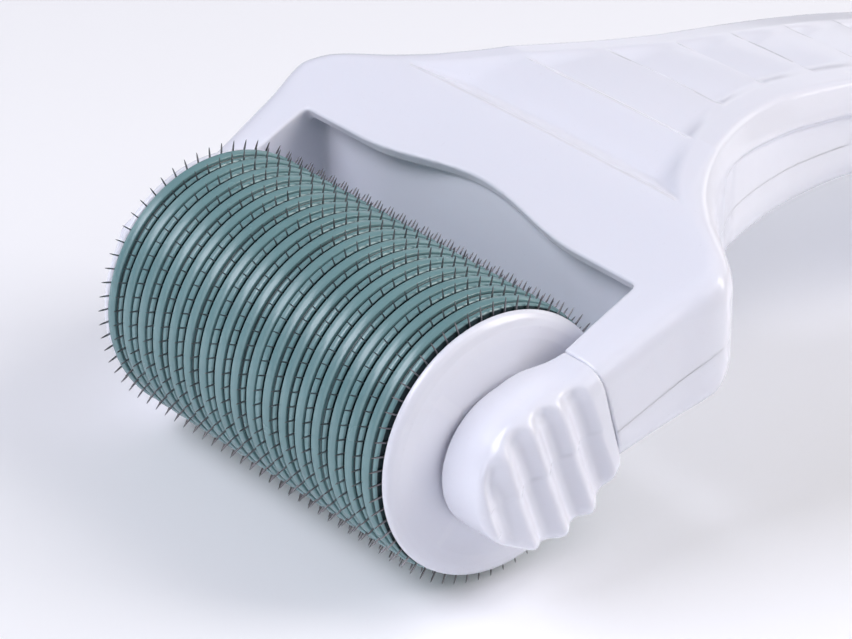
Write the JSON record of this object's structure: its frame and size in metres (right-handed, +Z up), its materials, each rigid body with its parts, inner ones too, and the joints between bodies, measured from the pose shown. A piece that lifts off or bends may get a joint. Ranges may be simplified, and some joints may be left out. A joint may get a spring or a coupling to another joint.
{
  "type": "derma roller",
  "caption": "Hand-held skin roller: a fork-shaped handle with a ribbed thumb rest carries a spinning drum of fine steel needle discs between two ribbed pull-off end lugs.",
  "frame": {"origin": "on the surface that the roller lies on, under the middle of the part's box", "axes": "+X from the drum towards the handle's tail, +Y along the drum's axle, +Z up"},
  "size_m": [0.143, 0.067, 0.034],
  "materials": {
    "white_plastic": "glossy cool white moulded plastic",
    "teal_plastic": "glossy grey-teal moulded plastic",
    "needle_steel": "bright etched stainless steel",
    "axle_steel": "ground stainless steel pin"
  },
  "bodies": {
    "handle": {"handle_upper_shell": "white_plastic", "handle_lower_shell": "white_plastic"},
    "cartridge": {"near_end_lug": "white_plastic", "far_end_lug": "white_plastic", "axle_pin": "axle_steel"},
    "drum": {"drum_hub": "teal_plastic", "near_end_cap": "white_plastic", "far_end_cap": "white_plastic", "needle_disc_01": "needle_steel", "needle_disc_02": "needle_steel", "needle_disc_03": "needle_steel", "needle_disc_04": "needle_steel", "needle_disc_05": "needle_steel", "needle_disc_06": "needle_steel", "needle_disc_07": "needle_steel", "needle_disc_08": "needle_steel", "needle_disc_09": "needle_steel", "needle_disc_10": "needle_steel", "needle_disc_11": "needle_steel", "needle_disc_12": "needle_steel", "needle_disc_13": "needle_steel", "needle_disc_14": "needle_steel", "needle_disc_15": "needle_steel", "needle_disc_16": "needle_steel", "needle_disc_17": "needle_steel", "needle_disc_18": "needle_steel", "spacer_ring_01": "teal_plastic", "spacer_ring_02": "teal_plastic", "spacer_ring_03": "teal_plastic", "spacer_ring_04": "teal_plastic", "spacer_ring_05": "teal_plastic", "spacer_ring_06": "teal_plastic", "spacer_ring_07": "teal_plastic", "spacer_ring_08": "teal_plastic", "spacer_ring_09": "teal_plastic", "spacer_ring_10": "teal_plastic", "spacer_ring_11": "teal_plastic", "spacer_ring_12": "teal_plastic", "spacer_ring_13": "teal_plastic", "spacer_ring_14": "teal_plastic", "spacer_ring_15": "teal_plastic", "spacer_ring_16": "teal_plastic", "spacer_ring_17": "teal_plastic"}
  },
  "joints": [
    {"name": "cartridge_pull", "type": "slide", "parent": "handle", "child": "cartridge", "axis": [-0.9397, 0, -0.342], "range_m": [0, 0.012]},
    {"name": "drum_spin", "type": "hinge", "parent": "cartridge", "child": "drum", "pos_m": [-0.05655, 0, 0.0149], "axis": [0, 1, 0], "continuous": true}
  ]
}
